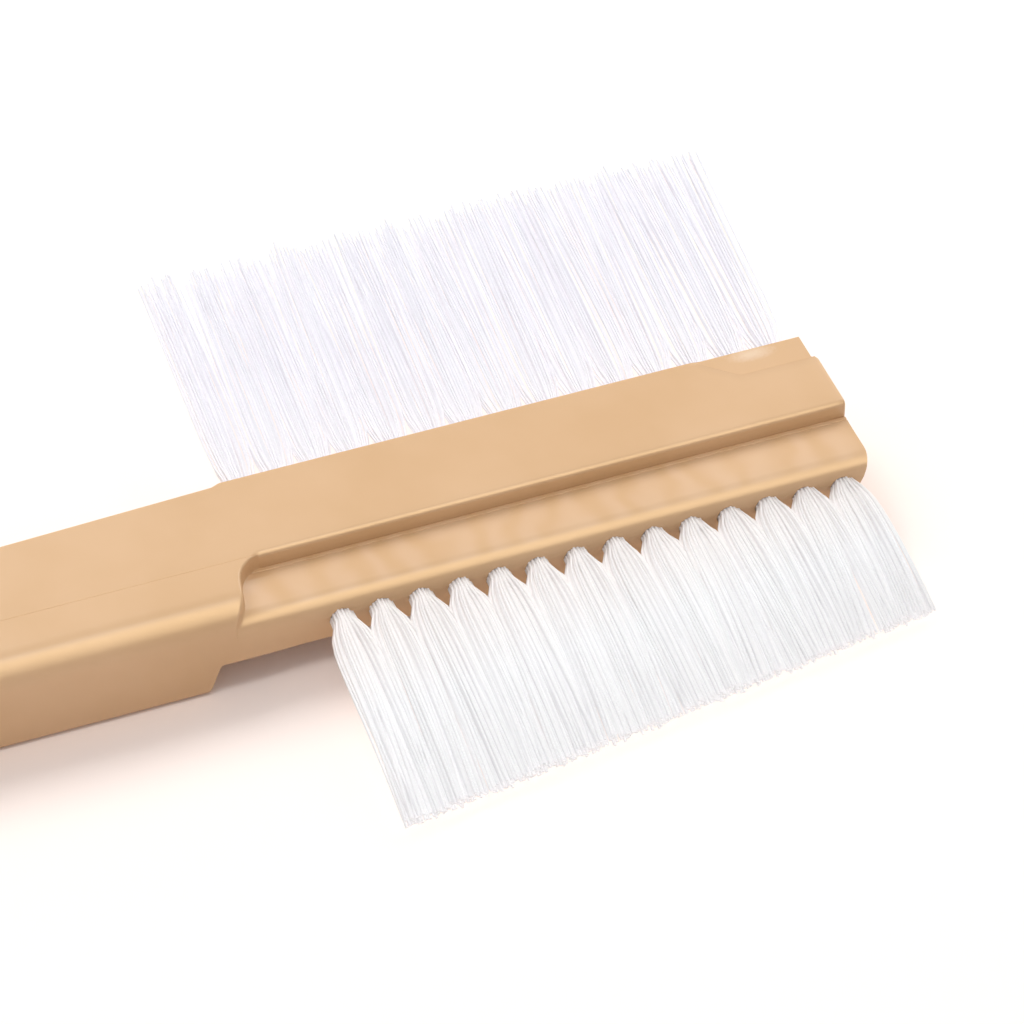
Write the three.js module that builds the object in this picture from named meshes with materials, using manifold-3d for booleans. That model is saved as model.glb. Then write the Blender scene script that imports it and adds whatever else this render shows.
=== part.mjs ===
// A double-edged cleaning brush. Its body is two mouldings that meet on one upright plane: the far
// half carries the raised spine and the long row of tufts, the near half the lower ledge and the
// short row, which is trimmed on a slant. A flat wire anchor holds every tuft in its hole.
// Millimetres, +Z up. The origin is the middle of the handle's flat underside. +X runs towards
// the head's free end, the long row stands out along +Y and the short row along -Y.
import * as THREE from "three";
import { mergeVertices } from "three/addons/utils/BufferGeometryUtils.js";
import Module from "manifold-3d";

const wasm = await Module();
wasm.setup();

// Handle
const handleLength = 139;
const bodyWidth = 22.7;
const bodyThickness = 13.5;
const gripInset = 0.35; // the handle's far side stands in from the head's by this much where they meet
const gripTaper = 4.5; // and draws in by this much more towards the butt
const nearEdgeRadius = 2.5;
const farEdgeRadius = 0.6;
const lowerEdgeRadius = 1;
const buttPlanRadius = 6;
const buttSideRadius = 3;
const hangSlotLength = 12;
const hangSlotWidth = 7;
const hangSlotInset = 6;

// Head
const headLength = 81.5;
const spineWidth = 14.15; // raised part of the head's top, measured from the far edge
const barThickness = 7; // both bristle bars
const ledgeDrop = 2.5;
const ledgeEdgeRadius = 0.8;
const headEdgeRadius = 0.4;
const shoulderRun = 1.6; // the far edge steps out to the head's full width over this length
const recessSlant = 3.4; // the recess reaches this much further back at the near edge than at the spine
const recessCornerRadius = 2;
const rampFootSetback = 7.6; // from the head's start back to where the underside begins to rise
const rampRun = 1.7;
const lowerBandRise = 1.7; // sloping band along the bars' lower outer edge
const lowerBandRun = 0.5;
const endRake = 2.3; // the free end leans back by this much over a bar's thickness, from the ledge down
const notchLength = 10.8; // shallow step in the far corner of the free end
const notchSlant = 5.3;
const notchWidth = 4.7;
const notchDepth = 0.2;
const notchSetback = 0.75;

// Hollow and location of the two halves
const wallThickness = 3;
const hollowBays = 5;
const ribThickness = 5;
const hollowButtMargin = 24; // solid end about the hanging slot
const hollowHeadMargin = 14; // solid length before the head
const pinDiameter = 3;
const pinLength = 4;

// Tufts and anchors
const tuftPitch = 5.2;
const rowEndInset = 4.1; // from the free end to the nearest hole centre
const nearTuftCount = 14;
const farTuftCount = 15;
const holeDiameter = 3;
const holeDepth = 7;
const nearInnerLength = 30.2; // free bristle length at the handle end of the short row
const nearOuterLength = 19.6; // and at its outer end
const farBristleLength = 42.5;
const nearDroop = 6.2; // how far the tips hang below their holes
const farDroop = 0.5;
const nearInnerLean = -0.3; // how far the tips drift towards the free end
const nearOuterLean = 2;
const farLean = 2.6;
const nearFanUp = 0.8; // how thick a tuft is at its tips, against its root
const farFanUp = 1.3;
const strandWidth = 0.44;
const sliceDepth = 1; // backing that each row's strands stand on
const sliceMargin = 0.3; // backing above, below and beside the holes
const anchorThickness = 0.4;
const anchorHeight = 1.8;
const anchorBite = 0.5; // how far each end of an anchor reaches into the hole's wall
const foldThickness = 0.8; // bristles folded behind the anchor
const fitGap = 0.3;

// Places that follow from the sizes
const headStart = handleLength / 2;
const headEnd = headStart + headLength;
const buttX = -handleLength / 2;
const farY = bodyWidth / 2;
const nearY = -bodyWidth / 2;
const seamY = farY - spineWidth;
const ledgeZ = bodyThickness - ledgeDrop;
const nearBarLow = ledgeZ - barThickness;
const farBarLow = bodyThickness - barThickness;
const farBarInnerY = -seamY; // where the underside steps up to the far bar
const overcut = 5; // how far cutters run past the faces that they open
const curveSegments = 6;

const tanPlastic = { color: 0xe8c198, roughness: 0.45, metalness: 0 };
const farPlastic = new THREE.MeshStandardMaterial(tanPlastic);
const nearPlastic = new THREE.MeshStandardMaterial(tanPlastic);
const whiteFilament = new THREE.MeshStandardMaterial({ color: 0xf6f5f8, roughness: 0.4, metalness: 0 });
const clearFilament = new THREE.MeshStandardMaterial({ color: 0xf4f2f5, roughness: 0.35, metalness: 0 });
const anchorWire = new THREE.MeshStandardMaterial({ color: 0xb9b4a6, roughness: 0.35, metalness: 1 });

// Solids

function solidOf(geometry) {
  const bare = geometry.clone();
  bare.deleteAttribute("normal");
  bare.deleteAttribute("uv");
  const merged = mergeVertices(bare, 1e-5);
  const vertProperties = merged.getAttribute("position").array;
  const triVerts = new Uint32Array(merged.index.array);
  return new wasm.Manifold(new wasm.Mesh({ numProp: 3, vertProperties, triVerts }));
}

function meshOf(name, solid, material) {
  const { vertProperties, triVerts } = solid.getMesh();
  const geometry = new THREE.BufferGeometry();
  geometry.setAttribute("position", new THREE.BufferAttribute(vertProperties, 3));
  geometry.setIndex(new THREE.BufferAttribute(triVerts, 1));
  geometry.computeVertexNormals();
  const mesh = new THREE.Mesh(geometry, material);
  mesh.name = name;
  return mesh;
}

function boxBetween(low, high) {
  const size = high.map((value, axis) => value - low[axis]);
  const centre = high.map((value, axis) => (value + low[axis]) / 2);
  return solidOf(new THREE.BoxGeometry(...size).translate(...centre));
}

// A round bar along Y.
function barAlongY(radius, lowY, highY, x, z, sides) {
  const bar = new THREE.CylinderGeometry(radius, radius, highY - lowY, sides);
  return solidOf(bar.translate(x, (lowY + highY) / 2, z));
}

function polygon(points) {
  return new THREE.Shape(points.map(([a, b]) => new THREE.Vector2(a, b)));
}

function extrusion(shape, depth) {
  return new THREE.ExtrudeGeometry(shape, { depth, bevelEnabled: false, curveSegments });
}

// A prism over an outline drawn in X and Y.
function planPrism(shape, lowZ, highZ) {
  return solidOf(extrusion(shape, highZ - lowZ).translate(0, 0, lowZ));
}

// A prism over an outline drawn in X and Z.
function sidePrism(shape, lowY, highY) {
  return solidOf(extrusion(shape, highY - lowY).rotateX(Math.PI / 2).translate(0, highY, 0));
}

// A prism over an outline drawn in Y and Z.
function endPrism(shape, lowX, highX) {
  const turned = new THREE.Matrix4().set(0, 0, 1, lowX, 1, 0, 0, 0, 0, 1, 0, 0, 0, 0, 0, 1);
  return solidOf(extrusion(shape, highX - lowX).applyMatrix4(turned));
}

// A closed skin over convex rings, each running anticlockwise seen from the last one.
function loft(rings) {
  const count = rings[0].length;
  const index = [];
  for (let ring = 0; ring < rings.length - 1; ring++) {
    for (let i = 0; i < count; i++) {
      const a = ring * count + i;
      const b = ring * count + ((i + 1) % count);
      index.push(a, b, b + count, a, b + count, a + count);
    }
  }
  const lastStart = (rings.length - 1) * count;
  for (let i = 1; i < count - 1; i++) {
    index.push(0, i + 1, i);
    index.push(lastStart, lastStart + i, lastStart + i + 1);
  }
  const positions = rings.flat().flatMap((point) => [point.x, point.y, point.z]);
  const geometry = new THREE.BufferGeometry();
  geometry.setAttribute("position", new THREE.Float32BufferAttribute(positions, 3));
  geometry.setIndex(index);
  return solidOf(geometry);
}

// Body

// One cross-section of the blank: a rectangle in Y and Z with rounded corners.
function blankRing(x, { far, near, low, high, farRadius }) {
  const cornerSteps = 6;
  const corners = [
    { y: far - farRadius, z: high - farRadius, radius: farRadius },
    { y: near + nearEdgeRadius, z: high - nearEdgeRadius, radius: nearEdgeRadius },
    { y: near + lowerEdgeRadius, z: low + lowerEdgeRadius, radius: lowerEdgeRadius },
    { y: far - lowerEdgeRadius, z: low + lowerEdgeRadius, radius: lowerEdgeRadius },
  ];
  return corners.flatMap(({ y, z, radius }, corner) =>
    Array.from({ length: cornerSteps + 1 }, (_, step) => {
      const angle = (corner + step / cornerSteps) * (Math.PI / 2);
      return new THREE.Vector3(x, y + radius * Math.cos(angle), z + radius * Math.sin(angle));
    }),
  );
}

// The handle with its rounded butt, running on into a plain bar as long as the head.
function bodyBlank() {
  const head = { far: farY, near: nearY, low: 0, high: bodyThickness, farRadius: headEdgeRadius };
  const neck = { ...head, far: farY - gripInset, farRadius: farEdgeRadius };
  const butt = { ...neck, far: neck.far - gripTaper };
  const domeSteps = 5;
  const dome = Array.from({ length: domeSteps + 1 }, (_, step) => {
    const angle = (step / domeSteps) * (Math.PI / 2);
    const sideways = buttPlanRadius * (1 - Math.sin(angle));
    const upright = buttSideRadius * (1 - Math.sin(angle));
    return blankRing(buttX + buttPlanRadius * (1 - Math.cos(angle)), {
      ...butt,
      far: butt.far - sideways,
      near: butt.near + sideways,
      low: upright,
      high: bodyThickness - upright,
    });
  });
  return loft([
    ...dome,
    blankRing(headStart, neck),
    blankRing(headStart + shoulderRun, head),
    blankRing(headEnd, head),
  ]);
}

function hangSlot() {
  const radius = hangSlotWidth / 2;
  const middleY = nearY + (bodyWidth - gripInset - gripTaper) / 2;
  const slotStart = buttX + hangSlotInset;
  const slotEnd = slotStart + hangSlotLength;
  const outline = new THREE.Shape();
  outline.absarc(slotStart + radius, middleY, radius, Math.PI / 2, Math.PI * 1.5, false);
  outline.absarc(slotEnd - radius, middleY, radius, -Math.PI / 2, Math.PI / 2, false);
  outline.closePath();
  return planPrism(outline, -overcut, bodyThickness + overcut);
}

// The step down to the ledge. Its inner end slants and turns into the spine's wall through a round corner.
function ledgeRecess() {
  const slope = recessSlant / (seamY - nearY);
  const corner = recessCornerRadius;
  const outline = new THREE.Shape();
  outline.moveTo(headEnd + overcut, seamY);
  outline.lineTo(headStart + corner, seamY);
  outline.quadraticCurveTo(headStart, seamY, headStart - slope * corner, seamY - corner);
  outline.lineTo(headStart - recessSlant - slope * overcut, nearY - overcut);
  outline.lineTo(headEnd + overcut, nearY - overcut);
  outline.closePath();
  return planPrism(outline, ledgeZ, bodyThickness + overcut);
}

// What lies outside the round along the ledge's near edge.
function ledgeEdgeTrim() {
  const centreY = nearY + ledgeEdgeRadius;
  const centreZ = ledgeZ - ledgeEdgeRadius;
  const outline = new THREE.Shape();
  outline.moveTo(nearY - overcut, centreZ);
  outline.lineTo(nearY, centreZ);
  outline.absarc(centreY, centreZ, ledgeEdgeRadius, Math.PI, Math.PI / 2, true);
  outline.lineTo(centreY, ledgeZ + overcut);
  outline.lineTo(nearY - overcut, ledgeZ + overcut);
  outline.closePath();
  return endPrism(outline, headStart - recessSlant, headEnd + overcut);
}

// The head's underside: the near bar's level right across, and the far bar's higher level beside it.
function undersideCut(level, lowY, highY) {
  const rampFoot = headStart - rampFootSetback;
  const slope = rampRun / nearBarLow;
  const outline = polygon([
    [rampFoot - slope * overcut, -overcut],
    [headEnd + overcut, -overcut],
    [headEnd + overcut, level],
    [rampFoot + slope * level, level],
  ]);
  return sidePrism(outline, lowY, highY);
}

// The sloping band along a bar's lower outer edge.
function lowerBand(edgeY, outwards, level) {
  const slope = lowerBandRun / lowerBandRise;
  const outline = polygon([
    [edgeY - outwards * (lowerBandRun + slope * lowerBandRise), level - lowerBandRise],
    [edgeY + outwards * lowerBandRun, level - lowerBandRise],
    [edgeY + outwards * lowerBandRun, level + 2 * lowerBandRise],
  ]);
  return endPrism(outline, headStart, headEnd + overcut);
}

function endRakeCut() {
  const slope = endRake / barThickness;
  const outline = polygon([
    [headEnd - slope * (ledgeZ + overcut), -overcut],
    [headEnd + overcut, -overcut],
    [headEnd + overcut, ledgeZ],
    [headEnd, ledgeZ],
  ]);
  return sidePrism(outline, nearY - overcut, farY + overcut);
}

function cornerNotch() {
  const innerY = farY - notchWidth;
  const straightStart = headEnd - notchLength;
  const outline = polygon([
    [straightStart, innerY],
    [headEnd + overcut, innerY],
    [headEnd + overcut, farY + overcut],
    [straightStart - notchSlant * (1 + overcut / notchWidth), farY + overcut],
  ]);
  const step = planPrism(outline, bodyThickness - notchDepth, bodyThickness + overcut);
  const cornerLow = [headEnd - notchSetback, innerY, -overcut];
  const cornerHigh = [headEnd + overcut, farY + overcut, bodyThickness + overcut];
  return step.add(boxBetween(cornerLow, cornerHigh));
}

// Pockets in both halves, open at the seam and parted by ribs.
function hollow() {
  const start = buttX + hollowButtMargin;
  const bayPitch = (headStart - hollowHeadMargin + ribThickness - start) / hollowBays;
  const farInner = farY - gripInset - gripTaper - wallThickness;
  const bays = Array.from({ length: hollowBays }, (_, bay) =>
    boxBetween(
      [start + bay * bayPitch, nearY + wallThickness, wallThickness],
      [start + (bay + 1) * bayPitch - ribThickness, farInner, bodyThickness - wallThickness],
    ),
  );
  const ribCentres = bays.slice(1).map((_, rib) => start + (rib + 1) * bayPitch - ribThickness / 2);
  return { bays, ribCentres };
}

// A row of tufts is drawn in its own frame: u along the row, v out of the bar, w up, with the middle
// of the row's face at the origin. The near row is that frame turned half round about Z.
function rowOf({ count, level, turned, lengths, droop, leans, fanUp }) {
  const length = (count - 1) * tuftPitch;
  const endwards = turned ? -1 : 1; // whether u runs to the free end or back to the handle
  const between = ([inner, outer]) => (share) => inner + (outer - inner) * share;
  return {
    turned,
    droop,
    fanUp,
    place: new THREE.Vector3(headEnd - rowEndInset - length / 2, turned ? nearY : farY, level),
    centres: Array.from({ length: count }, (_, tuft) => (tuft * tuftPitch - length / 2) * endwards),
    halfLength: length / 2 + holeDiameter / 2 + sliceMargin,
    shareAt: (u) => 0.5 + (u * endwards) / length, // 0 at the handle's end of the row, 1 at the free end
    lengthAt: between(lengths),
    leanAt: between(leans.map((lean) => lean * endwards)),
  };
}

const nearRow = rowOf({
  count: nearTuftCount,
  level: nearBarLow + barThickness / 2,
  turned: true,
  lengths: [nearInnerLength, nearOuterLength],
  droop: nearDroop,
  leans: [nearInnerLean, nearOuterLean],
  fanUp: nearFanUp,
});

const farRow = rowOf({
  count: farTuftCount,
  level: farBarLow + barThickness / 2,
  turned: false,
  lengths: [farBristleLength, farBristleLength],
  droop: farDroop,
  leans: [farLean, farLean],
  fanUp: farFanUp,
});

const plugDepth = holeDepth - fitGap;
const anchorDepth = plugDepth - foldThickness - fitGap - anchorHeight / 2; // from the face to its centre
const anchorLength = holeDiameter + 2 * anchorBite;

// A box about an anchor's place, larger than the anchor by a gap all round.
function anchorBox(u, gap) {
  return boxBetween(
    [u - anchorThickness / 2 - gap, -anchorDepth - anchorHeight / 2 - gap, -anchorLength / 2 - gap],
    [u + anchorThickness / 2 + gap, -anchorDepth + anchorHeight / 2 + gap, anchorLength / 2 + gap],
  );
}

function backingSlice(row, gap, front) {
  const halfHeight = holeDiameter / 2 + sliceMargin;
  return boxBetween(
    [-row.halfLength - gap, -sliceDepth - gap, -halfHeight - gap],
    [row.halfLength + gap, front, halfHeight + gap],
  );
}

// Where the strands of a tuft leave the hole, in rings about its centre.
const rootReach = holeDiameter / 2 - strandWidth;
const strandRings = [1, 4, 7];
const strandRoots = strandRings.flatMap((strands, ring) =>
  Array.from({ length: strands }, (_, i) => {
    const angle = ((i + ring / 2) / strands) * Math.PI * 2;
    const radius = (rootReach * ring) / (strandRings.length - 1);
    return { u: radius * Math.cos(angle), w: radius * Math.sin(angle) };
  }),
);

// A three-sided strand. A tuft's strands fan out until their tips fill the pitch, and droop in a curve.
function strand(row, centre, root) {
  const sides = 3;
  const reach = strandWidth / Math.sqrt(sides);
  const fanAlong = (tuftPitch / 2 - strandWidth) / rootReach;
  const share = row.shareAt(centre);
  const length = row.lengthAt(row.shareAt(centre + root.u * fanAlong));
  const rings = [-sliceDepth / 2, length / 2, length].map((v) => {
    const along = v / length;
    const sag = along < 0.5 ? along / 2 : along * along; // straight as far as the bend half-way out
    const u = centre + root.u * (1 + (fanAlong - 1) * along) + row.leanAt(share) * along;
    const w = root.w * (1 + (row.fanUp - 1) * along) - row.droop * sag;
    return Array.from({ length: sides }, (_, side) => {
      const angle = (-side / sides) * Math.PI * 2;
      return new THREE.Vector3(u + reach * Math.cos(angle), v, w + reach * Math.sin(angle));
    });
  });
  return loft(rings);
}

// The tufts of a row: strands on their slice of backing, with the packed roots that go into the holes.
function bristles(row) {
  const plugSides = 8;
  const plugRadius = holeDiameter / 2 - fitGap;
  const plugFront = -sliceDepth * 0.75; // sunk into the slice
  const plugs = row.centres.map((u) => {
    const bar = barAlongY(plugRadius, -plugDepth, plugFront, u, 0, plugSides);
    return bar.subtract(anchorBox(u, fitGap));
  });
  const strands = row.centres.flatMap((centre) => strandRoots.map((root) => strand(row, centre, root)));
  return wasm.Manifold.union([backingSlice(row, 0, 0), ...plugs, ...strands]);
}

// What a row takes out of its bar: the slice's seat, the holes and the anchors' bite.
function rowSeat(row) {
  const holeSides = 12;
  const holes = row.centres.map((u) => barAlongY(holeDiameter / 2, -holeDepth, overcut, u, 0, holeSides));
  const bites = row.centres.map((u) => anchorBox(u, fitGap));
  const seat = wasm.Manifold.union([backingSlice(row, fitGap, overcut), ...holes, ...bites]);
  return (row.turned ? seat.rotate([0, 0, 180]) : seat).translate(row.place.toArray());
}

function rowGroup(row, bristleName, anchorName, material) {
  const group = new THREE.Group();
  group.position.copy(row.place);
  group.rotation.z = row.turned ? Math.PI : 0;
  group.add(meshOf(bristleName, bristles(row), material));
  row.centres.forEach((u, tuft) => {
    const number = String(tuft + 1).padStart(2, "0");
    group.add(meshOf(`${anchorName}_${number}`, anchorBox(u, 0), anchorWire));
  });
  return group;
}

// Assembly

const { bays, ribCentres } = hollow();
const wholeBody = wasm.Manifold.difference([
  bodyBlank(),
  hangSlot(),
  ledgeRecess(),
  ledgeEdgeTrim(),
  undersideCut(nearBarLow, nearY - overcut, farY + overcut),
  undersideCut(farBarLow, farBarInnerY, farY + overcut),
  lowerBand(nearY, -1, nearBarLow),
  lowerBand(farY, 1, farBarLow),
  endRakeCut(),
  cornerNotch(),
  ...bays,
  rowSeat(nearRow),
  rowSeat(farRow),
]);

const pinLevel = nearBarLow + barThickness / 2;
const pinPlaces = [...ribCentres, headStart + headLength / 4, headEnd - headLength / 4];
const pinSides = 12;
const pins = pinPlaces.map((x) =>
  barAlongY(pinDiameter / 2, seamY - fitGap, seamY + pinLength, x, pinLevel, pinSides),
);
const sockets = pinPlaces.map((x) =>
  barAlongY(pinDiameter / 2 + fitGap, seamY - overcut, seamY + pinLength + fitGap, x, pinLevel, pinSides),
);
const beyond = 2 * (handleLength + headLength);
const nearSide = boxBetween([-beyond, -beyond, -beyond], [beyond, seamY, beyond]);
const farSide = boxBetween([-beyond, seamY, -beyond], [beyond, beyond, beyond]);
const nearHalf = wasm.Manifold.union([wholeBody.intersect(nearSide), ...pins]);
const farHalf = wasm.Manifold.difference([wholeBody.intersect(farSide), ...sockets]);

const brush = new THREE.Group();
brush.name = "double_edged_brush";
brush.add(meshOf("far_half", farHalf, farPlastic));
brush.add(meshOf("near_half", nearHalf, nearPlastic));
brush.add(rowGroup(farRow, "far_bristle_row", "far_anchor", clearFilament));
brush.add(rowGroup(nearRow, "near_bristle_row", "near_anchor", whiteFilament));

export default brush;
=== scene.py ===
import math

import bmesh
import bpy
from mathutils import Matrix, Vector


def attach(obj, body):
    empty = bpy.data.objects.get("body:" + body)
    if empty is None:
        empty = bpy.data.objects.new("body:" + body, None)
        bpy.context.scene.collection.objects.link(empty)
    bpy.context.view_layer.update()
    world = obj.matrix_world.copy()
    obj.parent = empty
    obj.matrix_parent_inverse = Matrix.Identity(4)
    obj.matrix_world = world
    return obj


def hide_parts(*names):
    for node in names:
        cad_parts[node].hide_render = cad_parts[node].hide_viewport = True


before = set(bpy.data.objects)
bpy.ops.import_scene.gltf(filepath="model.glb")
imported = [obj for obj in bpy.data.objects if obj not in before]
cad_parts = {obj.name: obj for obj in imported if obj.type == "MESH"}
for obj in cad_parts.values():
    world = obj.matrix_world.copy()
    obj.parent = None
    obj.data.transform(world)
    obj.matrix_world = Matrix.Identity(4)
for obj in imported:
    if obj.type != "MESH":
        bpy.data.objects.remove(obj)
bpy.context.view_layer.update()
scene = bpy.context.scene
mm = 0.001

# sizes of the moulded body, in millimetres, in the CAD's frame
body = {
    "buttX": -69.5, "headStart": 69.5, "headEnd": 151.0, "thickness": 13.5,
    "nearY": -11.35, "farY": 11.35, "seamY": -2.8, "seamGap": 0.004, "seamRound": 0.065,
    "ledgeDrop": 2.5, "nearBarLow": 4.0, "farBarLow": 6.5, "farBarInnerY": 2.8,
    "gripInset": 0.35, "gripTaper": 4.5, "gripBlend": 1.6, "buttPlanRadius": 6.0, "buttSideRadius": 3.0,
    "rampFootSetback": 7.6, "rampRun": 1.7, "rampEase": 0.2, "rakeTop": 11.2, "rakeSlope": 0.33,
    "faceBreak": 8.2, "upperBandRun": 0.06, "lowerBandRun": 0.5, "handleLowRound": 1.0, "headLowRound": 0.35,
}

# tuft holes, in millimetres: both rows end at the same distance from the free end
tufts = {"pitch": 5.2, "rowEndInset": 4.1, "holeDiameter": 3.0, "holeDepth": 7.0, "rootDepth": 2.5,
         "nearCount": 14, "nearLevel": 7.5, "nearRootLift": 0.1, "farCount": 15, "farLevel": 10.0}
lastHole = body["headEnd"] - tufts["rowEndInset"]


def firstHole(count):
    return lastHole - tufts["pitch"] * (count - 1)


def linearColour(code):
    channels = [int(code[i:i + 2], 16) / 255 for i in (1, 3, 5)]
    return [c / 12.92 if c <= 0.04045 else ((c + 0.055) / 1.055) ** 2.4 for c in channels] + [1.0]


def addNode(tree, kind, inputs=None, **settings):
    node = tree.nodes.new(kind)
    for name, value in settings.items():
        setattr(node, name, value)
    for key, value in (inputs or {}).items():
        if isinstance(value, bpy.types.Node):
            value = next(socket for socket in value.outputs if socket.enabled)
        if isinstance(value, bpy.types.NodeSocket):
            tree.links.new(value, node.inputs[key])
        else:
            node.inputs[key].default_value = value
    return node


def newMaterial(name):
    material = bpy.data.materials.new(name)
    material.use_nodes = True
    material.node_tree.nodes.clear()
    return material, material.node_tree


# moulded polypropylene: satin skin, slight clouding of the pigment and a fine sparked texture (millimetres)
tanFinish = {"light": "#D3AD85", "deep": "#CEA77D", "cloud": 16.0, "cloudRange": (0.35, 0.65), "grain": 0.45,
             "roughness": (0.33, 0.39), "bumpStrength": 0.12, "bumpDepth": 0.06,
             "scuff": "#DFC3A6", "scuffPlace": (143.2, 10.1, 13.4), "scuffReach": (3.4, 1.3, 1.0),
             "scuffRagged": 0.5, "scuffFade": (1.35, 0.5),
             # painted light and shade: the paler bands below stand in for the shading of the ledge's ripples
             "rippleLightPaint": "#E6C9B0", "rippleLightShare": 0.2, "rippleLightWarp": 6.0, "rippleLightDetail": 2.0, "rippleLightDetailScale": 1.5,
             "rippleLightEdges": (("Y", -11.1, -10.6), ("Y", -2.8, -3.0), ("Z", 10.5, 10.8), ("Z", 11.15, 11.05))}


def mouldedTan():
    material, tree = newMaterial("mouldedTanPolypropylene")
    place = addNode(tree, "ShaderNodeTexCoord").outputs["Object"]
    cloud = addNode(tree, "ShaderNodeTexNoise", {"Vector": place, "Scale": 1 / (tanFinish["cloud"] * mm),
                                                 "Detail": 3.0})
    low, high = tanFinish["cloudRange"]
    share = addNode(tree, "ShaderNodeMapRange", {0: cloud, 1: low, 2: high})
    tint = addNode(tree, "ShaderNodeMix", {0: share, 6: linearColour(tanFinish["deep"]),
                                           7: linearColour(tanFinish["light"])}, data_type="RGBA")
    grain = addNode(tree, "ShaderNodeTexNoise", {"Vector": place, "Scale": 1 / (tanFinish["grain"] * mm),
                                                 "Detail": 2.0})

    # whitened where the corner was scuffed
    middle = [length * mm for length in tanFinish["scuffPlace"]]
    reach = [length * mm for length in tanFinish["scuffReach"]]
    offset = addNode(tree, "ShaderNodeVectorMath", {0: place, 1: middle}, operation="SUBTRACT")
    ratio = addNode(tree, "ShaderNodeVectorMath", {0: offset, 1: reach}, operation="DIVIDE")
    away = addNode(tree, "ShaderNodeVectorMath", {0: ratio}, operation="LENGTH").outputs["Value"]
    ragged = addNode(tree, "ShaderNodeMath", {0: grain, 1: tanFinish["scuffRagged"], 2: away},
                     operation="MULTIPLY_ADD")
    outer, inner = tanFinish["scuffFade"]
    worn = addNode(tree, "ShaderNodeMapRange", {0: ragged, 1: outer, 2: inner})
    skin = addNode(tree, "ShaderNodeMix", {0: worn, 6: tint, 7: linearColour(tanFinish["scuff"])},
                   data_type="RGBA")

    # painted light and shade: paler bands across the ledge, at the pitch of the tufts, stand in for the
    # shading of its shallow ripples over the tuft holes
    axes = addNode(tree, "ShaderNodeSeparateXYZ", {0: place}).outputs
    onLedge = tanFinish["rippleLightShare"]
    for axis, outside, inside in tanFinish["rippleLightEdges"]:
        edge = addNode(tree, "ShaderNodeMapRange", {0: axes[axis], 1: outside * mm, 2: inside * mm})
        onLedge = addNode(tree, "ShaderNodeMath", {0: edge, 1: onLedge}, operation="MULTIPLY")
    waveScale = math.pi / (10 * tufts["pitch"] * mm)  # the wave texture repeats every pi / 10 at a scale of 1
    bands = addNode(tree, "ShaderNodeTexWave", {"Vector": place, "Scale": waveScale,
                                                "Distortion": tanFinish["rippleLightWarp"],
                                                "Detail": tanFinish["rippleLightDetail"],
                                                "Detail Scale": tanFinish["rippleLightDetailScale"]})
    marked = addNode(tree, "ShaderNodeMath", {0: bands.outputs["Fac"], 1: onLedge}, operation="MULTIPLY")
    skin = addNode(tree, "ShaderNodeMix", {0: marked, 6: skin, 7: linearColour(tanFinish["rippleLightPaint"])},
                   data_type="RGBA")

    low, high = tanFinish["roughness"]
    gloss = addNode(tree, "ShaderNodeMapRange", {0: grain, 3: low, 4: high})
    bump = addNode(tree, "ShaderNodeBump", {"Height": grain, "Strength": tanFinish["bumpStrength"],
                                            "Distance": tanFinish["bumpDepth"] * mm})
    shader = addNode(tree, "ShaderNodeBsdfPrincipled", {"Base Color": skin, "Roughness": gloss,
                                                        "Normal": bump, "IOR": 1.49,
                                                        "Specular IOR Level": 0.5})
    addNode(tree, "ShaderNodeOutputMaterial", {"Surface": shader})
    return material


# drawn nylon filament: milky white or nearly clear, each strand a shade of its own
filamentFinish = {"paintedRootRampEnd": 0.55, "value": (0.95, 1.0), "roughness": (0.3, 0.45)}


def drawnFilament(name, rootCode, tipCode):
    material, tree = newMaterial(name)
    along = addNode(tree, "ShaderNodeAttribute", attribute_name="along").outputs["Fac"]
    shade = addNode(tree, "ShaderNodeAttribute", attribute_name="shade").outputs["Fac"]
    # painted light and shade along each strand: the colour runs from the root colour to the tip colour
    paintedRootRamp = addNode(tree, "ShaderNodeMapRange", {0: along, 2: filamentFinish["paintedRootRampEnd"]})
    blend = addNode(tree, "ShaderNodeMix", {0: paintedRootRamp, 6: linearColour(rootCode), 7: linearColour(tipCode)},
                    data_type="RGBA")
    low, high = filamentFinish["value"]
    value = addNode(tree, "ShaderNodeMapRange", {0: shade, 3: low, 4: high})
    tone = addNode(tree, "ShaderNodeHueSaturation", {"Color": blend, "Value": value})
    low, high = filamentFinish["roughness"]
    gloss = addNode(tree, "ShaderNodeMapRange", {0: shade, 3: low, 4: high})
    shader = addNode(tree, "ShaderNodeBsdfPrincipled", {"Base Color": tone, "Roughness": gloss, "IOR": 1.53,
                                                        "Specular IOR Level": 0.2})
    addNode(tree, "ShaderNodeOutputMaterial", {"Surface": shader})
    return material


# flat steel wire, tin plated and sheared to length: dull bright metal with drawing lines along it
wireFinish = {"dark": "#A9A595", "bright": "#C9C5B6", "stretch": (12000, 12000, 400),
              "roughness": (0.28, 0.42)}


def platedWire():
    material, tree = newMaterial("tinPlatedSteelWire")
    place = addNode(tree, "ShaderNodeTexCoord").outputs["Object"]
    stretch = addNode(tree, "ShaderNodeMapping", {"Vector": place, "Scale": wireFinish["stretch"]})
    lines = addNode(tree, "ShaderNodeTexNoise", {"Vector": stretch, "Scale": 1.0})
    colour = addNode(tree, "ShaderNodeMix", {0: lines, 6: linearColour(wireFinish["dark"]),
                                             7: linearColour(wireFinish["bright"])}, data_type="RGBA")
    low, high = wireFinish["roughness"]
    gloss = addNode(tree, "ShaderNodeMapRange", {0: lines, 3: low, 4: high})
    shader = addNode(tree, "ShaderNodeBsdfPrincipled", {"Base Color": colour, "Roughness": gloss,
                                                        "Metallic": 1.0})
    addNode(tree, "ShaderNodeOutputMaterial", {"Surface": shader})
    return material


tan = mouldedTan()
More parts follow.
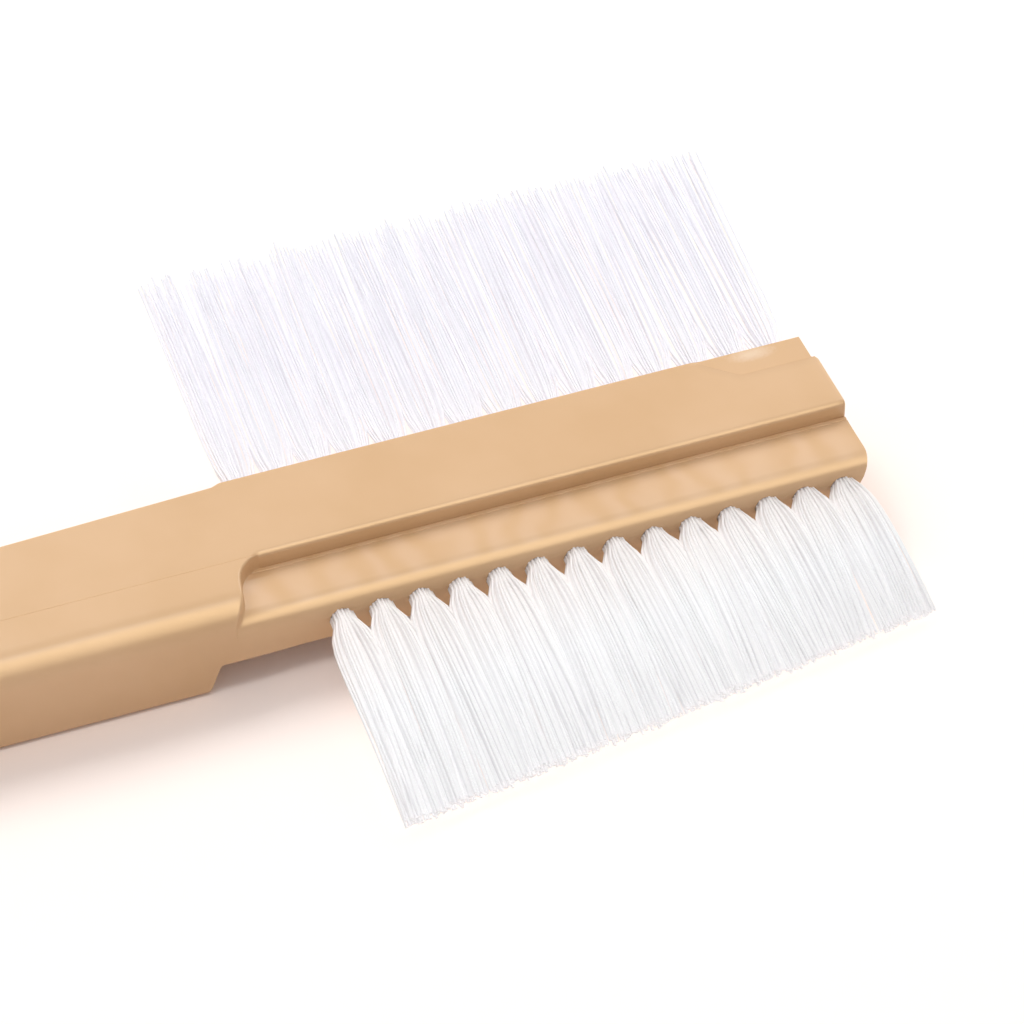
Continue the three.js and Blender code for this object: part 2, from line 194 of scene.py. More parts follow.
# painted shade: the white strands are darker and pinker at the root, where the body shades them and throws
# warm light back onto them
whiteFilament = drawnFilament("whiteNylonFilament", "#F1EBEA", "#F6F6F9")
# painted light: the clear strands are lighter at the root, against the shade where they crowd, and greyer
# towards the tips
clearFilament = drawnFilament("clearNylonFilament", "#F3F2F7", "#EEEDF4")
wire = platedWire()
print("materials ready")


def clamp(t):
    return min(1.0, max(0.0, t))


def smooth(t):
    t = clamp(t)
    return t * t * (3 - 2 * t)


def mix(a, b, t):
    return a + (b - a) * t


def arc(y, z, radius, start, end, steps):
    angles = [math.radians(mix(start, end, i / steps)) for i in range(steps + 1)]
    return [(y + radius * math.cos(a), z + radius * math.sin(a)) for a in angles]


def spread(a, b, shares):
    return [(mix(a[0], b[0], t), mix(a[1], b[1], t)) for t in shares]


def insetLoop(points, amount):
    count = len(points)
    moved = []
    for i, (y, z) in enumerate(points):
        before, after = points[i - 1], points[(i + 1) % count]
        dy, dz = after[0] - before[0], after[1] - before[1]
        size = math.hypot(dy, dz)
        moved.append((y - amount * dz / size, z + amount * dy / size))
    return moved


def skinLoops(name, loops, material):
    mesh = bpy.data.meshes.new(name)
    shell = bmesh.new()
    rings = [[shell.verts.new(Vector(p) * mm) for p in loop] for loop in loops]
    for first, second in zip(rings, rings[1:]):
        for i in range(len(first)):
            j = (i + 1) % len(first)
            shell.faces.new((first[i], first[j], second[j], second[i]))
    shell.faces.new(rings[0][::-1])
    shell.faces.new(rings[-1])
    bmesh.ops.recalc_face_normals(shell, faces=shell.faces)
    shell.to_mesh(mesh)
    shell.free()
    mesh.materials.append(material)
    piece = bpy.data.objects.new(name, mesh)
    scene.collection.objects.link(piece)
    return piece


# where rings stand along the body, in millimetres
stand = {"buttSteps": 10, "handlePitch": 6, "handleSetback": 9,
         "rampStart": 61.3, "rampPitch": 0.2, "rampCount": 18,
         "turnPitch": 0.3, "turnCount": 13, "headPitch": 0.65, "headRange": (8, 124)}
rampStations = [stand["rampStart"] + stand["rampPitch"] * i for i in range(stand["rampCount"])]
headStations = [body["headStart"] + stand["headPitch"] * i for i in range(*stand["headRange"])]


def stationList():
    stations = []
    for step in range(stand["buttSteps"] + 1):  # round of the butt
        angle = math.radians(90 * step / stand["buttSteps"])
        stations.append({"x": body["buttX"] + body["buttPlanRadius"] * (1 - math.cos(angle)),
                         "round": 1 - math.sin(angle)})
    x = stations[-1]["x"] + stand["handlePitch"]
    while x < body["headStart"] - stand["handleSetback"]:
        stations.append({"x": x})
        x += stand["handlePitch"]
    return stations


def undersideRise(x, level):
    foot, ease = body["headStart"] - body["rampFootSetback"], body["rampEase"]
    run = body["rampRun"] * level / body["nearBarLow"]
    return level * smooth((x - foot + ease) / (run + 2 * ease))


def farSide(x):
    along = (body["headStart"] - x) / (body["headStart"] - body["buttX"] - body["buttPlanRadius"])
    inset = body["gripInset"] * (1 - smooth((x - body["headStart"]) / body["gripBlend"]))
    return body["farY"] - inset - body["gripTaper"] * clamp(along)


# near half: handle side and ledge
nearTune = {"topRound": 3.8, "ledgeRound": 2.3, "roundLimit": 0.55, "headBlend": 4, "lip": 0.4,
            "groove": 0.16, "grooveRows": (1, 2, 3), "grooveBottom": 2, "ripple": 0.07,
            "waver": ((0.05, 1.9, 0), (0.04, 4.3, 1)),  # reach, rate and start of the groove's slight waver
            "wallSteps": ((0.03, 1.5), (0.06, 0.9), (0.1, 0.25), (0.2, 0.07), (0.35, 0.0)),  # x, height
            "recessFoot": 5.5, "recessFade": 3.5, "recessTurn": 9}
topShares = [0.03, 0.072, 0.09, 0.108, 0.14, 0.2, 0.27, 0.36, 0.48, 0.62, 0.8]


def ledgeTop(x, ledgeShare, topRow):
    waver = sum(reach * math.sin(x * rate + start) for reach, rate, start in nearTune["waver"])
    ripple = 0.5 - 0.5 * math.cos(2 * math.pi * (x - lastHole) / tufts["pitch"])
    points = []
    for i, (y, z) in enumerate(topRow):
        if i in nearTune["grooveRows"]:
            y += waver * ledgeShare
        if i == nearTune["grooveBottom"]:
            z -= nearTune["groove"] * ledgeShare
        if i > nearTune["grooveRows"][-1]:
            z -= nearTune["ripple"] * ripple * ledgeShare * math.sin(math.pi * topShares[i])
        points.append((y, z))
    return points


def nearLoop(x, drop, roundShare, slant):
    ledgeShare = min(1.0, drop / body["ledgeDrop"])
    near = body["nearY"] + body["buttPlanRadius"] * roundShare
    low = undersideRise(x, body["nearBarLow"]) + body["buttSideRadius"] * roundShare
    high = body["thickness"] - drop - body["buttSideRadius"] * roundShare
    inHead = smooth((x - body["headStart"]) / nearTune["headBlend"])
    seam, c = body["seamY"] - body["seamGap"], body["seamRound"]
    top = min(mix(nearTune["topRound"], nearTune["ledgeRound"], ledgeShare),
              nearTune["roundLimit"] * (seam - near))
    lowRound = mix(body["handleLowRound"], body["headLowRound"], inHead)
    foot = near + body["lowerBandRun"] * inHead + lowRound
    edge = near + body["upperBandRun"] * ledgeShare
    points = spread((seam, low + c), (seam, high - c), (0.25, 0.5, 0.75))
    points += arc(seam - c, high - c, c, 0, 90, 3)
    points += ledgeTop(x, ledgeShare, spread((seam - c, high), (edge + top, high), topShares))
    points += arc(edge + top, high - top, top, 90, 180, 7)
    points += spread((edge, high - top), (near, body["faceBreak"]), (0.34, 0.67, 1.0))
    points += arc(foot, low + lowRound, lowRound, 180, 270, 5)
    points += spread((foot, low), (seam - c, low), (0.3, 0.7))
    points += arc(seam - c, low + c, c, 270, 360, 3)
    return [(x + slant * recessOffset(y, z), y, z) for y, z in points]


# plan line of the recess's inner end: distance from the seam, and how far along the handle it lies
recessLine = ((0.0, 1.9), (0.2, 1.15), (0.5, 0.55), (0.9, 0.0), (1.4, -0.5), (2.0, -0.95), (2.7, -1.3),
              (4.0, -1.6), (6.0, -2.0), (7.0, -2.5), (7.8, -3.1), (8.55, -4.0))


def recessOffset(y, z):
    away = min(recessLine[-1][0], max(0.0, body["seamY"] - y))
    for (a, first), (b, second) in zip(recessLine, recessLine[1:]):
        if away <= b:
            offset = mix(first, second, (away - a) / (b - a))
            break
    return offset * smooth((z - nearTune["recessFoot"]) / nearTune["recessFade"])


def nearLoops():
    loops = [nearLoop(s["x"], 0, s.get("round", 0), 0) for s in stationList()]
    start, lip, wall = body["headStart"], nearTune["lip"], body["ledgeDrop"]
    turnStart, wallFoot = stationList()[-1]["x"], nearTune["wallSteps"][-1][0]
    approach = rampStations + [mix(rampStations[-1], start - lip, i / 8) for i in range(1, 9)]
    for x in approach:  # rings turn to the slant of the recess
        loops.append(nearLoop(x, 0, 0, smooth((x - turnStart) / (start - lip - turnStart))))
    for i in range(1, 7):  # rounded lip
        angle = math.radians(90 * i / 6)
        loops.append(nearLoop(start - lip + lip * math.sin(angle), lip * (1 - math.cos(angle)), 0, 1))
    for x, height in nearTune["wallSteps"]:
        loops.append(nearLoop(start + x, wall - height, 0, 1))
    for x in headStations:  # rings turn back square to the head
        loops.append(nearLoop(x, wall, 0, 1 - smooth((x - start - wallFoot) / nearTune["recessTurn"])))
    loops.append(nearLoop(body["headEnd"], wall, 0, 0))
    return loops


# far half: handle side, spine and far bar
farTune = {"handleRound": 0.6, "headRound": 0.4, "stepRound": 0.75, "stepDelay": 0.6, "endRound": 0.35,
           "notchWidth": 4.72, "notchLeast": 0.8, "notchDepth": 0.2, "notchLength": 10.8, "notchSlant": 5.3,
           "notchBlend": 1.5, "notchClear": 0.25, "notchSetback": 0.75, "jog": (0.4, 0.8, 0.2),
           "bead": 0.06, "beadFeet": (0.14, 0.16), "barClear": 1.2, "barFoot": (0.25, 0.6)}


def farLoop(x, roundShare, inset):
    far = farSide(x) - body["buttPlanRadius"] * roundShare
    low = undersideRise(x, body["nearBarLow"]) + body["buttSideRadius"] * roundShare
    barLow = max(low, undersideRise(x, body["farBarLow"]))
    high = body["thickness"] - body["buttSideRadius"] * roundShare
    intoHead = x - body["headStart"]
    inHead = smooth(intoHead / body["gripBlend"])
    seam, c = body["seamY"], body["seamRound"]
    top = mix(farTune["handleRound"], farTune["headRound"], inHead)
    lowRound = mix(body["handleLowRound"], body["headLowRound"], inHead)
    foot = far - body["lowerBandRun"] * inHead - lowRound
    step = mix(c, farTune["stepRound"], smooth((intoHead - farTune["stepDelay"]) / body["gripBlend"]))

    # the far corner steps down to a shallow notch, with a slanting start and a bead along its edge
    intoNotch = x - (body["headEnd"] - farTune["notchLength"] - farTune["notchSlant"])
    width = max(farTune["notchLeast"], farTune["notchWidth"] * clamp(intoNotch / farTune["notchSlant"]))
    shown = smooth(intoNotch / farTune["notchBlend"])
    notchY = min(body["farY"] - width, far - top - farTune["notchClear"])
    notch, bead = farTune["notchDepth"] * shown, farTune["bead"] * shown
    lowerFoot, upperFoot = farTune["beadFeet"]

    points = spread((far, mix(barLow + lowRound, high, 0.4)), (far, high - notch - top), (0.0, 0.33, 0.67))
    points += arc(far - top, high - notch - top, top, 0, 90, 6)
    points += [(notchY + lowerFoot, high - notch), (notchY, high + bead), (notchY - upperFoot, high)]
    points += spread((notchY - upperFoot, high), (seam + step, high), (0.15, 0.3, 0.45, 0.6, 0.75, 0.9))
    points += arc(seam + step, high - step, step, 90, 180, 5)
    points += spread((seam, high - step), (seam, low + c), (0.2, 0.4, 0.6, 0.8))
    points += arc(seam + c, low + c, c, 180, 270, 3)
    inner = min(body["farBarInnerY"], foot - farTune["barClear"])
    bend, barStart = [inner + run for run in farTune["barFoot"]]
    points += spread((seam + c, low), (inner, low), (0.5, 1.0))
    points += [(bend, mix(low, barLow, 0.9)), (barStart, barLow)]
    points += spread((barStart, barLow), (foot, barLow), (0.5,))
    points += arc(foot, barLow + lowRound, lowRound, 270, 360, 5)
    if inset:
        points = insetLoop(points, inset)
    return [(x, y, z) for y, z in points]


def farLoops():
    loops = [farLoop(s["x"], s.get("round", 0), 0) for s in stationList()]
    loops += [farLoop(x, 0, 0) for x in rampStations]
    start, endRound = body["headStart"], farTune["endRound"]
    loops += [farLoop(mix(rampStations[-1], start, i / 5), 0, 0) for i in range(1, 6)]
    loops += [farLoop(start + stand["turnPitch"] * i, 0, 0) for i in range(1, stand["turnCount"] + 1)]
    loops += [farLoop(x, 0, 0) for x in headStations]
    for i in range(5):  # rounded free end
        angle = math.radians(90 * i / 4)
        x = body["headEnd"] - endRound + endRound * math.sin(angle)
        loops.append(farLoop(x, 0, endRound * (1 - math.cos(angle))))
    return loops


# hanging slot through the butt, with eased edges: each level is a height and its share of the ease
slotTune = {"start": -63.5, "length": 12.0, "width": 7.0, "middleY": -2.425, "ease": 0.7,
            "levels": ((-1.0, 1.3), (0.0, 1.0), (0.12, 0.62), (0.36, 0.24), (0.7, 0.0))}


def slotCutter():
    half = slotTune["width"] / 2
    first, last = slotTune["start"] + half, slotTune["start"] + slotTune["length"] - half
    ease, high, levels = slotTune["ease"], body["thickness"], slotTune["levels"]
    heights = [(z, e * ease) for z, e in levels] + [(high - z, e * ease) for z, e in levels[::-1]]
    ends = [(first, a) for a in range(90, 271, 12)] + [(last, a) for a in range(-90, 91, 12)]
    loops = []
    for z, grow in heights:
        r = half + grow
        loops.append([(middle + r * math.cos(math.radians(a)),
                       slotTune["middleY"] + r * math.sin(math.radians(a)), z) for middle, a in ends])
    return skinLoops("slotCutter", loops, tan)


def endCutters():  # the end leans back below the ledge, and its far corner is set back
    end, beyond, low, high = body["headEnd"], 20.0, -1.0, body["rakeTop"]
    rake = [(end - body["rakeSlope"] * (high - low), low), (end + beyond, low),
            (end + beyond, high), (end, high)]
    sides = [[(x, y, z) for x, z in rake] for y in (-beyond, beyond)]
    innerRun, outerRun, past = farTune["jog"]
    jog, back = body["farY"] - farTune["notchWidth"], end - farTune["notchSetback"]
    plan = [(back, beyond), (back, jog + innerRun), (end + past, jog - outerRun),
            (end + beyond, jog - outerRun), (end + beyond, beyond)]
    levels = [[(x, y, z) for x, y in plan] for z in (low, beyond)]
    return skinLoops("rakeCutter", sides, tan), skinLoops("cornerCutter", levels, tan)


def newTree(name, sockets):
    tree = bpy.data.node_groups.new(name, "GeometryNodeTree")
    tree.interface.new_socket("Geometry", in_out="INPUT", socket_type="NodeSocketGeometry")
    for label, kind in sockets:
        tree.interface.new_socket(label, in_out="INPUT", socket_type=kind)
    tree.interface.new_socket("Geometry", in_out="OUTPUT", socket_type="NodeSocketGeometry")
    return tree, addNode(tree, "NodeGroupInput").outputs


def bakeTree(piece, tree, values):
    modifier = piece.modifiers.new("nodes", "NODES")
    modifier.node_group = tree
    for item in tree.interface.items_tree:
        if item.in_out == "INPUT" and item.name in values:
            modifier[item.identifier] = values[item.name]
    bpy.context.view_layer.update()
    graph = bpy.context.evaluated_depsgraph_get()
    mesh = bpy.data.meshes.new_from_object(piece.evaluated_get(graph), depsgraph=graph)
    piece.modifiers.remove(modifier)
    old = piece.data
    piece.data = mesh
    bpy.data.meshes.remove(old)


drillSockets = [("Hole Count", "NodeSocketInt"), ("Pitch", "NodeSocketFloat"),
                ("First Hole", "NodeSocketVector"), ("Diameter", "NodeSocketFloat"),
                ("Depth", "NodeSocketFloat"), ("Slot", "NodeSocketObject"), ("Rake", "NodeSocketObject"),
                ("Corner", "NodeSocketObject"), ("Material", "NodeSocketMaterial")]


def drillTree():  # a row of blind tuft holes, and the cutters' openings
    tree, given = newTree("drillTuftHoles", drillSockets)
    step = addNode(tree, "ShaderNodeCombineXYZ", {0: given["Pitch"]})
    line = addNode(tree, "GeometryNodeMeshLine", {"Count": given["Hole Count"],
                                                  "Start Location": given["First Hole"], "Offset": step})
    radius = addNode(tree, "ShaderNodeMath", {0: given["Diameter"], 1: 0.5}, operation="MULTIPLY")
    length = addNode(tree, "ShaderNodeMath", {0: given["Depth"], 1: 2.0}, operation="MULTIPLY")
    drill = addNode(tree, "GeometryNodeMeshCylinder", {"Vertices": 28, "Radius": radius, "Depth": length})
    holes = addNode(tree, "GeometryNodeInstanceOnPoints", {"Points": line, "Instance": drill,
                                                           "Rotation": (math.pi / 2, 0, 0)})
    shape, tools = given["Geometry"], [addNode(tree, "GeometryNodeRealizeInstances", {0: holes})]
    for name in ("Slot", "Rake", "Corner"):
        tools.append(addNode(tree, "GeometryNodeObjectInfo", {"Object": given[name]}).outputs["Geometry"])
    for tool in tools:
        shape = addNode(tree, "GeometryNodeMeshBoolean", {0: shape, 1: tool}, operation="DIFFERENCE",
                        solver="MANIFOLD")
    plain = addNode(tree, "GeometryNodeRealizeInstances", {0: shape})
    dressed = addNode(tree, "GeometryNodeSetMaterial", {0: plain, "Material": given["Material"]})
    addNode(tree, "NodeGroupOutput", {0: dressed})
    return tree


drilling = drillTree()
slot = slotCutter()
rake, corner = endCutters()
drillTune = {"Pitch": tufts["pitch"] * mm, "Diameter": tufts["holeDiameter"] * mm,
             "Depth": tufts["holeDepth"] * mm, "Slot": slot, "Rake": rake, "Corner": corner, "Material": tan}
creaseAngle = math.radians(32)


def finishHalf(piece, count, edgeY, level, node):
    first = (firstHole(count) * mm, edgeY * mm, level * mm)
    bakeTree(piece, drilling, {**drillTune, "Hole Count": count, "First Hole": first})
    piece.data.shade_smooth()
    piece.data.set_sharp_from_angle(angle=creaseAngle)
    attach(piece, "root")
    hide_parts(node)
    print(piece.name, len(piece.data.polygons), "faces")


nearHalf = skinLoops("nearHalf", nearLoops(), tan)
farHalf = skinLoops("farHalf", farLoops(), tan)
finishHalf(nearHalf, tufts["nearCount"], body["nearY"], tufts["nearLevel"], "near_half")
finishHalf(farHalf, tufts["farCount"], body["farY"], tufts["farLevel"], "far_half")
for tool in (slot, rake, corner):
    bpy.data.objects.remove(tool)

# bristle rows, sizes in metres: every filament runs from its root along its reach, fans out, drifts and sags
rowSockets = [("Tuft Count", "NodeSocketInt"), ("Filaments", "NodeSocketInt"), ("Rings", "NodeSocketInt"),
              ("Locks", "NodeSocketInt"), ("Seed", "NodeSocketInt"), ("Pitch", "NodeSocketFloat"),
              ("First Root", "NodeSocketVector"), ("Root Radius", "NodeSocketFloat"),
              ("Held Share", "NodeSocketFloat"), ("Inner Reach", "NodeSocketVector"),
              ("Outer Reach", "NodeSocketVector"), ("Inner Sag", "NodeSocketVector"),
              ("Outer Sag", "NodeSocketVector"), ("Fan", "NodeSocketVector"), ("Fan Rate", "NodeSocketFloat"),
              ("Tuft Drift", "NodeSocketVector"), ("Lock Drift", "NodeSocketVector"),
              ("Stray", "NodeSocketVector"), ("Trim", "NodeSocketFloat"),
              ("Filament Radius", "NodeSocketFloat"), ("Material", "NodeSocketMaterial")]
winding = {"goldenTurn": 0.381966, "tuftTurn": 0.37, "trimSeed": 7, "shadeSeed": 11, "sides": 5}


def tuftTree():
    tree, given = newTree("tuftRow", rowSockets)
    number, arrow, chance = "ShaderNodeMath", "ShaderNodeVectorMath", "FunctionNodeRandomValue"

    # filament number, its tuft, and its place on the round root of the tuft
    index = addNode(tree, "GeometryNodeInputIndex")
    total = addNode(tree, number, {0: given["Tuft Count"], 1: given["Filaments"]}, operation="MULTIPLY")
    points = addNode(tree, "GeometryNodePoints", {"Count": total})
    ratio = addNode(tree, number, {0: index, 1: given["Filaments"]}, operation="DIVIDE")
    tuft = addNode(tree, number, {0: ratio}, operation="FLOOR")
    fill = addNode(tree, number, {0: ratio}, operation="FRACT")
    place = addNode(tree, number, {0: index, 1: given["Filaments"]}, operation="MODULO")
    twist = addNode(tree, number, {0: tuft, 1: winding["tuftTurn"]}, operation="MULTIPLY")
    wound = addNode(tree, number, {0: place, 1: winding["goldenTurn"], 2: twist}, operation="MULTIPLY_ADD")
    turn = addNode(tree, number, {0: wound}, operation="FRACT")
    angle = addNode(tree, number, {0: turn, 1: 2 * math.pi}, operation="MULTIPLY")
    cosine = addNode(tree, number, {0: angle}, operation="COSINE")
    sine = addNode(tree, number, {0: angle}, operation="SINE")
    away = addNode(tree, number, {0: fill}, operation="SQRT")
    radius = addNode(tree, number, {0: away, 1: given["Root Radius"]}, operation="MULTIPLY")
    circle = addNode(tree, "ShaderNodeCombineXYZ", {0: cosine, 2: sine})
    disc = addNode(tree, arrow, {0: circle, "Scale": radius}, operation="SCALE")
    shift = addNode(tree, number, {0: tuft, 1: given["Pitch"]}, operation="MULTIPLY")
    along = addNode(tree, "ShaderNodeCombineXYZ", {0: shift})
    middle = addNode(tree, arrow, {0: given["First Root"], 1: along}, operation="ADD")
    root = addNode(tree, arrow, {0: middle, 1: disc}, operation="ADD")
    fan = addNode(tree, arrow, {0: disc, 1: given["Fan"]}, operation="MULTIPLY")

    # reach and sag change evenly from the handle end of the row to the free end
    tip = addNode(tree, arrow, {0: disc, 1: fan}, operation="ADD")
    tipAlong = addNode(tree, "ShaderNodeSeparateXYZ", {0: tip})
    lastTuft = addNode(tree, number, {0: given["Tuft Count"], 1: 1.0}, operation="SUBTRACT")
    rowLength = addNode(tree, number, {0: lastTuft, 1: given["Pitch"]}, operation="MULTIPLY")
    tipPlace = addNode(tree, number, {0: shift, 1: tipAlong}, operation="ADD")
    share = addNode(tree, number, {0: tipPlace, 1: rowLength}, operation="DIVIDE")
    fullReach = addNode(tree, "ShaderNodeMix", {0: share, 4: given["Inner Reach"], 5: given["Outer Reach"]},
                        data_type="VECTOR", clamp_factor=False)
    sag = addNode(tree, "ShaderNodeMix", {0: share, 4: given["Inner Sag"], 5: given["Outer Sag"]},
                  data_type="VECTOR", clamp_factor=False)
    trim = addNode(tree, chance, {2: -1.0, 3: 1.0, "ID": index, "Seed": winding["trimSeed"]},
                   data_type="FLOAT")
    size = addNode(tree, number, {0: trim, 1: given["Trim"], 2: 1.0}, operation="MULTIPLY_ADD")
    cut = addNode(tree, arrow, {0: fullReach, "Scale": size}, operation="SCALE")

    # tufts lean, locks within a tuft drift together, and single filaments stray
    side = addNode(tree, number, {0: turn, 1: given["Locks"]}, operation="MULTIPLY")
    sector = addNode(tree, number, {0: side}, operation="FLOOR")
    lock = addNode(tree, number, {0: tuft, 1: given["Locks"], 2: sector}, operation="MULTIPLY_ADD")
    leanOf, driftOf, strayOf = [addNode(tree, chance, {0: (-1, -1, -1), "ID": item, "Seed": given["Seed"]},
                                        data_type="FLOAT_VECTOR") for item in (tuft, lock, index)]
    reach = addNode(tree, arrow, {0: leanOf, 1: given["Tuft Drift"], 2: cut}, operation="MULTIPLY_ADD")
    drift = addNode(tree, arrow, {0: driftOf, 1: given["Lock Drift"], 2: sag}, operation="MULTIPLY_ADD")
    bow = addNode(tree, arrow, {0: strayOf, 1: given["Stray"], 2: drift}, operation="MULTIPLY_ADD")
    shade = addNode(tree, chance, {2: 0.0, 3: 1.0, "ID": index, "Seed": winding["shadeSeed"]},
                    data_type="FLOAT")
    held = points
    for name, value, kind in (("root", root, "FLOAT_VECTOR"), ("reach", reach, "FLOAT_VECTOR"),
                              ("fan", fan, "FLOAT_VECTOR"), ("bow", bow, "FLOAT_VECTOR"),
                              ("shade", shade, "FLOAT")):
        held = addNode(tree, "GeometryNodeStoreNamedAttribute",
                       {"Geometry": held, "Name": name, "Value": value}, data_type=kind, domain="POINT")

    # one straight line per filament, bent to its path and given a round section
    line = addNode(tree, "GeometryNodeCurvePrimitiveLine")
    strand = addNode(tree, "GeometryNodeResampleCurve", {"Curve": line, "Count": given["Rings"]})
    copies = addNode(tree, "GeometryNodeInstanceOnPoints", {"Points": held, "Instance": strand})
    strands = addNode(tree, "GeometryNodeRealizeInstances", {0: copies})
    factor = addNode(tree, "GeometryNodeSplineParameter").outputs["Factor"]
    squared = addNode(tree, number, {0: factor, 1: factor}, operation="MULTIPLY")
    free = addNode(tree, "ShaderNodeMapRange", {0: factor, 1: given["Held Share"], 3: 1.0, 4: 0.0})
    fade = addNode(tree, number, {0: free, 1: given["Fan Rate"]}, operation="POWER")
    opened = addNode(tree, number, {0: 1.0, 1: fade}, operation="SUBTRACT")  # opens early, then runs straight
    path = addNode(tree, "GeometryNodeInputNamedAttribute", {"Name": "root"}, data_type="FLOAT_VECTOR")
    for name, amount in (("reach", factor), ("fan", opened), ("bow", squared)):
        read = addNode(tree, "GeometryNodeInputNamedAttribute", {"Name": name}, data_type="FLOAT_VECTOR")
        part = addNode(tree, arrow, {0: read, "Scale": amount}, operation="SCALE")
        path = addNode(tree, arrow, {0: path, 1: part}, operation="ADD")
    placed = addNode(tree, "GeometryNodeSetPosition", {"Geometry": strands, "Position": path})
    marked = addNode(tree, "GeometryNodeStoreNamedAttribute",
                     {"Geometry": placed, "Name": "along", "Value": factor},
                     data_type="FLOAT", domain="POINT")
    section = addNode(tree, "GeometryNodeCurvePrimitiveCircle", {"Resolution": winding["sides"],
                                                                 "Radius": given["Filament Radius"]})
    tubes = addNode(tree, "GeometryNodeCurveToMesh", {"Curve": marked, "Profile Curve": section,
                                                      "Fill Caps": True})
    plain = addNode(tree, "GeometryNodeRealizeInstances", {0: tubes})
    dressed = addNode(tree, "GeometryNodeSetMaterial", {0: plain, "Material": given["Material"]})
    addNode(tree, "NodeGroupOutput", {0: dressed})
    return tree


rowTree = tuftTree()
nearRoot = (firstHole(tufts["nearCount"]) * mm, (body["nearY"] + tufts["rootDepth"]) * mm,
            (tufts["nearLevel"] + tufts["nearRootLift"]) * mm)
nearRow = {"Tuft Count": tufts["nearCount"], "Filaments": 64, "Rings": 18, "Locks": 5, "Seed": 3,
           "Pitch": tufts["pitch"] * mm, "First Root": nearRoot, "Root Radius": 0.00145, "Held Share": 0.113,
           "Inner Reach": (0.0002, -0.0327, 0.0), "Outer Reach": (0.0015, -0.0221, 0.0),
           "Inner Sag": (0.0, 0.0, -0.0062), "Outer Sag": (0.0, 0.0, -0.0062),
           "Fan": (1.2, 0.0, -0.45), "Fan Rate": 12.0, "Tuft Drift": (0.0004, 0.0, 0.0),
           "Lock Drift": (0.0009, 0.0, 0.0002), "Stray": (0.0005, 0.0, 0.0002), "Trim": 0.01,
           "Filament Radius": 0.0002, "Material": whiteFilament}
farRoot = (firstHole(tufts["farCount"]) * mm, (body["farY"] - tufts["rootDepth"]) * mm,
           tufts["farLevel"] * mm)
farRow = {"Tuft Count": tufts["farCount"], "Filaments": 36, "Rings": 12, "Locks": 6, "Seed": 8,
          "Pitch": tufts["pitch"] * mm, "First Root": farRoot, "Root Radius": 0.00132, "Held Share": 0.06,
          "Inner Reach": (0.0030, 0.045, 0.0), "Outer Reach": (0.0030, 0.045, 0.0),
          "Inner Sag": (0.0, 0.0, -0.0005), "Outer Sag": (0.0, 0.0, -0.0005),
          "Fan": (1.3, 0.0, 0.2), "Fan Rate": 12.0, "Tuft Drift": (0.0007, 0.0, 0.0),
          "Lock Drift": (0.0008, 0.0, 0.0006), "Stray": (0.0003, 0.0, 0.0004), "Trim": 0.02,
          "Filament Radius": 0.00016, "Material": clearFilament}


def makeRow(name, row, node):
    piece = bpy.data.objects.new(name, bpy.data.meshes.new(name))
    scene.collection.objects.link(piece)
    bakeTree(piece, rowTree, row)
    piece.data.shade_smooth()
    piece.visible_shadow = False  # nylon passes most of the light on, so a row throws no hard shadow
    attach(piece, "root")
    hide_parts(node)
    print(name, len(piece.data.polygons), "faces")


makeRow("nearFilaments", nearRow, "near_bristle_row")
makeRow("farFilaments", farRow, "far_bristle_row")

for name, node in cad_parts.items():
    if "anchor" in name:
        node.material_slots[0].material = wire

# table top, light and camera, lengths in metres
stage = {"floor": "#FEF3EF", "floorPatch": "#FCF0EB", "patchScale": 6.0, "reach": 4,
         "world": 0.53, "worldColour": (0.97, 0.98, 1.0, 1.0), "lampAim": (0.09, 0.0, 0.0)}
studioWhite, amber = (1.0, 0.985, 0.95), (1.0, 0.72, 0.4)
lamps = {
    "leftKey": {"place": (-0.35, 1.3, 1.6), "size": (1.1, 1.1), "power": 22.0, "colour": studioWhite},
    "rightKey": {"place": (1.75, 1.3, 1.6), "size": (1.1, 1.1), "power": 19.0, "colour": studioWhite},
    "fill": {"place": (0.2, -0.2, 2.0), "size": (0.4, 0.4), "power": 8.0, "colour": studioWhite},
    "glint": {"place": (0.55, -1.1, 1.4), "size": (0.5, 1.9), "power": 62.0, "colour": amber,
              "glossOnly": True},
}
view = {"target": (0.1061, -0.0003, 0.0068), "azimuth": -20.6, "elevation": 43.8, "distance": 0.652,
        "lens": 180.0, "sensor": 36.0, "clipStart": 0.05}


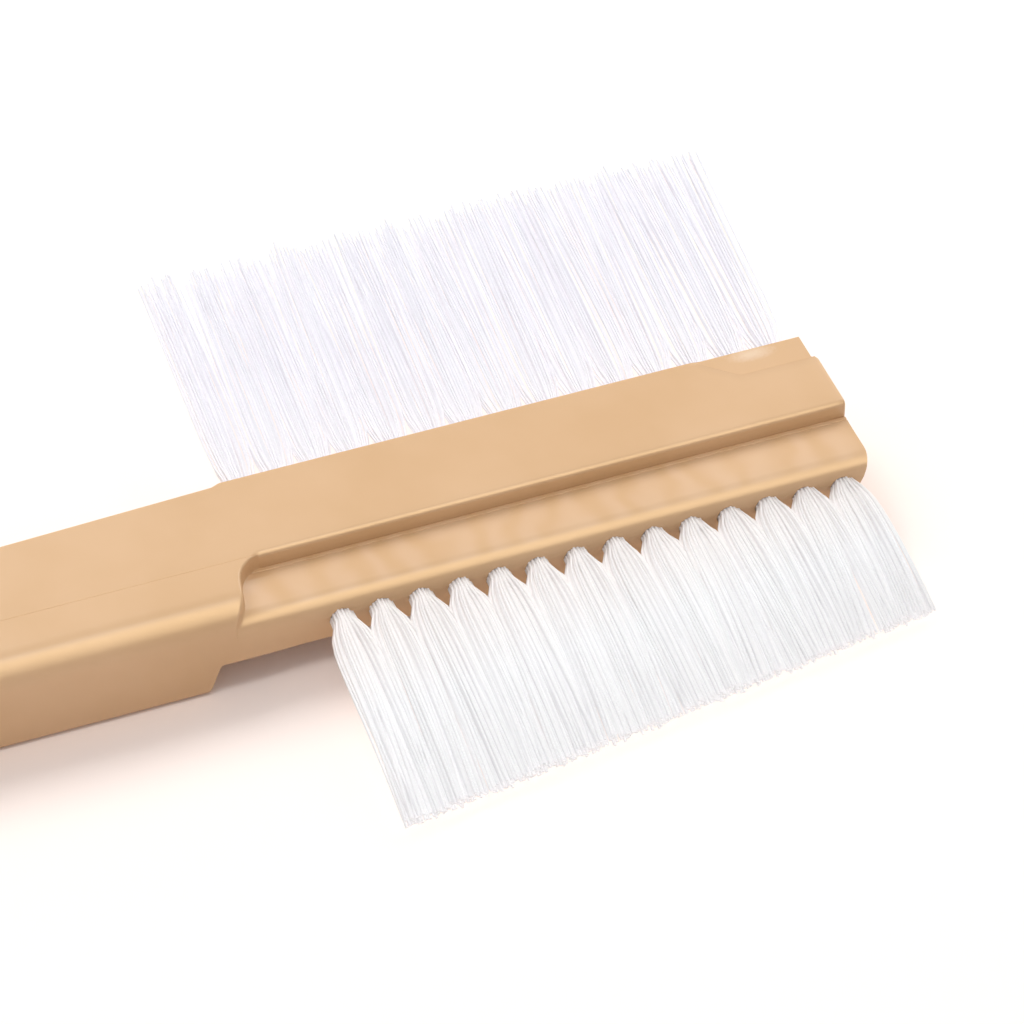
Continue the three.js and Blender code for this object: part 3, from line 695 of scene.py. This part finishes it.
# painted table top: matt, nearly white, with faint warm patches that show only in shadow
def paleTable():
    material, tree = newMaterial("paleTableTop")
    place = addNode(tree, "ShaderNodeTexCoord").outputs["Object"]
    soft = addNode(tree, "ShaderNodeTexNoise", {"Vector": place, "Scale": stage["patchScale"]})
    colour = addNode(tree, "ShaderNodeMix", {0: soft, 6: linearColour(stage["floorPatch"]),
                                             7: linearColour(stage["floor"])}, data_type="RGBA")
    shader = addNode(tree, "ShaderNodeBsdfPrincipled", {"Base Color": colour, "Roughness": 0.8,
                                                        "Specular IOR Level": 0.1})
    addNode(tree, "ShaderNodeOutputMaterial", {"Surface": shader})
    return material


def makeStage():
    mesh = bpy.data.meshes.new("tableTop")
    far = stage["reach"]
    mesh.from_pydata([(-far, -far, 0), (far, -far, 0), (far, far, 0), (-far, far, 0)], [], [(0, 1, 2, 3)])
    mesh.materials.append(paleTable())
    floor = bpy.data.objects.new("tableTop", mesh)
    scene.collection.objects.link(floor)
    world = bpy.data.worlds.new("studio")
    world.use_nodes = True
    world.node_tree.nodes["Background"].inputs["Color"].default_value = stage["worldColour"]
    world.node_tree.nodes["Background"].inputs["Strength"].default_value = stage["world"]
    scene.world = world
    for name, tune in lamps.items():
        lamp = bpy.data.lights.new(name, "AREA")
        lamp.energy = tune["power"]
        lamp.shape = "RECTANGLE"
        lamp.size, lamp.size_y = tune["size"]
        lamp.color = tune["colour"]
        holder = bpy.data.objects.new(name, lamp)
        holder.location = Vector(tune["place"])
        aim = Vector(stage["lampAim"]) - holder.location
        holder.rotation_euler = aim.to_track_quat("-Z", "Y").to_euler()
        holder.visible_diffuse = not tune.get("glossOnly", False)  # the glint shows only along rounded edges
        scene.collection.objects.link(holder)
    scene.view_settings.view_transform = "Standard"


def makeCamera():
    azimuth, elevation = math.radians(view["azimuth"]), math.radians(view["elevation"])
    level = math.cos(elevation)
    back = Vector((math.sin(azimuth) * level, -math.cos(azimuth) * level, math.sin(elevation)))
    lens = bpy.data.cameras.new("camera")
    lens.lens = view["lens"]
    lens.sensor_width = view["sensor"]
    lens.clip_start = view["clipStart"]
    camera = bpy.data.objects.new("camera", lens)
    camera.location = Vector(view["target"]) + back * view["distance"]
    camera.rotation_euler = back.to_track_quat("Z", "Y").to_euler()
    scene.collection.objects.link(camera)
    scene.camera = camera


makeStage()
makeCamera()
print("stage ready")
